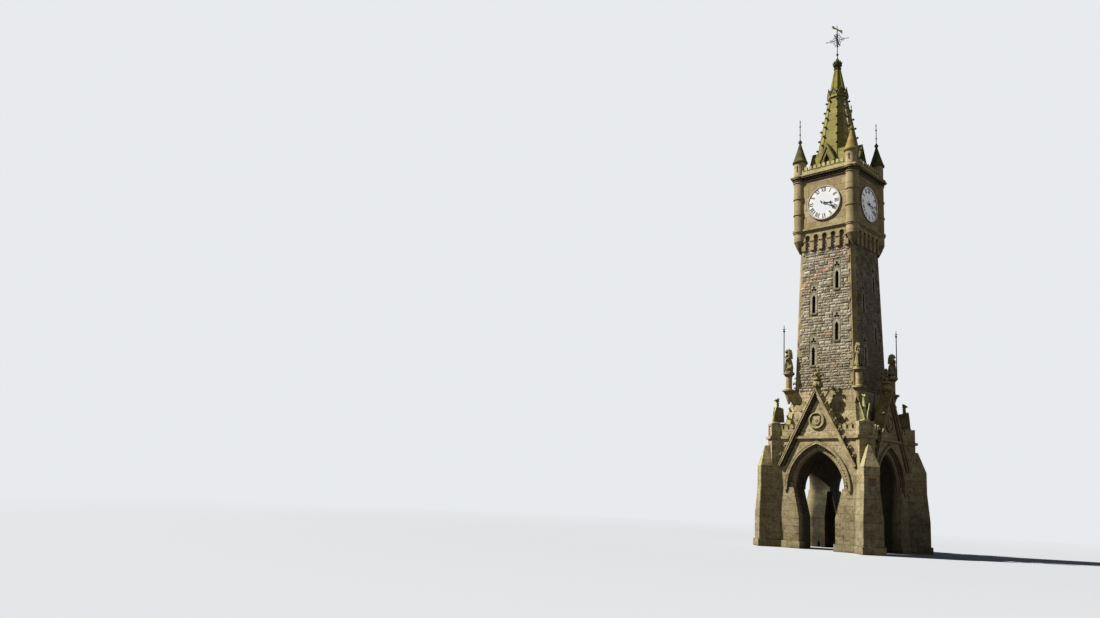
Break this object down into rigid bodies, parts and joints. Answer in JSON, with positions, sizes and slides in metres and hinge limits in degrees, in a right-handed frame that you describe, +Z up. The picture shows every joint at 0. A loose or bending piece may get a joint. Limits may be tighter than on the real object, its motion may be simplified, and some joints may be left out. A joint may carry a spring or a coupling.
{
  "type": "gothic clock tower",
  "caption": "Gothic stone clock tower: open arched porch with gables and diagonal buttresses, battered shaft, clock stage with round turrets, and an octagonal spire with a weather vane.",
  "frame": {"origin": "middle of the tower's base at ground level", "axes": "+Z up the tower, -Y out of the front arch, +X out of the right-hand arch"},
  "size_m": [5.7842, 5.7842, 24],
  "materials": {
    "ashlar": "matte",
    "rubble": "matte",
    "carved_stone": "matte",
    "dial": "satin",
    "hand": "satin",
    "ironwork": "matte",
    "vane": "satin"
  },
  "bodies": {
    "tower": {"front_arch_wall": "ashlar", "right_arch_wall": "ashlar", "back_arch_wall": "ashlar", "left_arch_wall": "ashlar", "front_right_pier": "ashlar", "back_right_pier": "ashlar", "back_left_pier": "ashlar", "front_left_pier": "ashlar", "porch_vault": "ashlar", "gable_copings": "ashlar", "gable_crockets": "carved_stone", "gable_finials": "carved_stone", "medallions": "carved_stone", "porch_string": "ashlar", "porch_battlement": "ashlar", "shaft_foot": "ashlar", "front_shaft_wall": "rubble", "right_shaft_wall": "rubble", "back_shaft_wall": "rubble", "left_shaft_wall": "rubble", "corbel_tables": "ashlar", "clock_string": "ashlar", "front_clock_wall": "ashlar", "right_clock_wall": "ashlar", "back_clock_wall": "ashlar", "left_clock_wall": "ashlar", "clock_dials": "dial", "corner_turrets": "ashlar", "turret_caps": "ashlar", "turret_rods": "ironwork", "cornice": "ashlar", "crested_parapet": "ashlar", "spire_lower": "ashlar", "spire_crockets": "carved_stone", "lucarnes": "ashlar", "gablet_ring": "ashlar", "spire_upper": "ashlar", "carved_finial": "carved_stone", "vane_rod": "ironwork", "corner_columns": "ashlar", "seated_beasts": "carved_stone", "iron_standards": "ironwork", "winged_figures": "carved_stone"},
    "front_hour_hand": {"front_hour_hand": "hand"},
    "right_hour_hand": {"right_hour_hand": "hand"},
    "back_hour_hand": {"back_hour_hand": "hand"},
    "left_hour_hand": {"left_hour_hand": "hand"},
    "front_minute_hand": {"front_minute_hand": "hand"},
    "right_minute_hand": {"right_minute_hand": "hand"},
    "back_minute_hand": {"back_minute_hand": "hand"},
    "left_minute_hand": {"left_minute_hand": "hand"},
    "weather_vane": {"weather_vane": "vane"}
  },
  "joints": [
    {"name": "front_minute_turn", "type": "hinge", "parent": "tower", "child": "front_minute_hand", "pos_m": [0, -1.41, 14.9], "axis": [0, 1, 0], "continuous": true},
    {"name": "front_hour_turn", "type": "hinge", "parent": "tower", "child": "front_hour_hand", "pos_m": [0, -1.41, 14.9], "axis": [0, 1, 0], "continuous": true},
    {"name": "right_minute_turn", "type": "hinge", "parent": "tower", "child": "right_minute_hand", "pos_m": [1.41, 0, 14.9], "axis": [-1, 0, 0], "continuous": true},
    {"name": "right_hour_turn", "type": "hinge", "parent": "tower", "child": "right_hour_hand", "pos_m": [1.41, 0, 14.9], "axis": [-1, 0, 0], "continuous": true},
    {"name": "back_minute_turn", "type": "hinge", "parent": "tower", "child": "back_minute_hand", "pos_m": [0, 1.41, 14.9], "axis": [0, -1, 0], "continuous": true},
    {"name": "back_hour_turn", "type": "hinge", "parent": "tower", "child": "back_hour_hand", "pos_m": [0, 1.41, 14.9], "axis": [0, -1, 0], "continuous": true},
    {"name": "left_minute_turn", "type": "hinge", "parent": "tower", "child": "left_minute_hand", "pos_m": [-1.41, 0, 14.9], "axis": [1, 0, 0], "continuous": true},
    {"name": "left_hour_turn", "type": "hinge", "parent": "tower", "child": "left_hour_hand", "pos_m": [-1.41, 0, 14.9], "axis": [1, 0, 0], "continuous": true},
    {"name": "vane_turn", "type": "hinge", "parent": "tower", "child": "weather_vane", "pos_m": [0, 0, 23.8], "axis": [0, 0, 1], "continuous": true}
  ],
  "couplings": [
    {"joint": "front_hour_turn", "follows": "front_minute_turn", "ratio": 0.083333},
    {"joint": "right_minute_turn", "follows": "front_minute_turn", "ratio": 1},
    {"joint": "right_hour_turn", "follows": "front_minute_turn", "ratio": 0.083333},
    {"joint": "back_minute_turn", "follows": "front_minute_turn", "ratio": 1},
    {"joint": "back_hour_turn", "follows": "front_minute_turn", "ratio": 0.083333},
    {"joint": "left_minute_turn", "follows": "front_minute_turn", "ratio": 1},
    {"joint": "left_hour_turn", "follows": "front_minute_turn", "ratio": 0.083333}
  ]
}
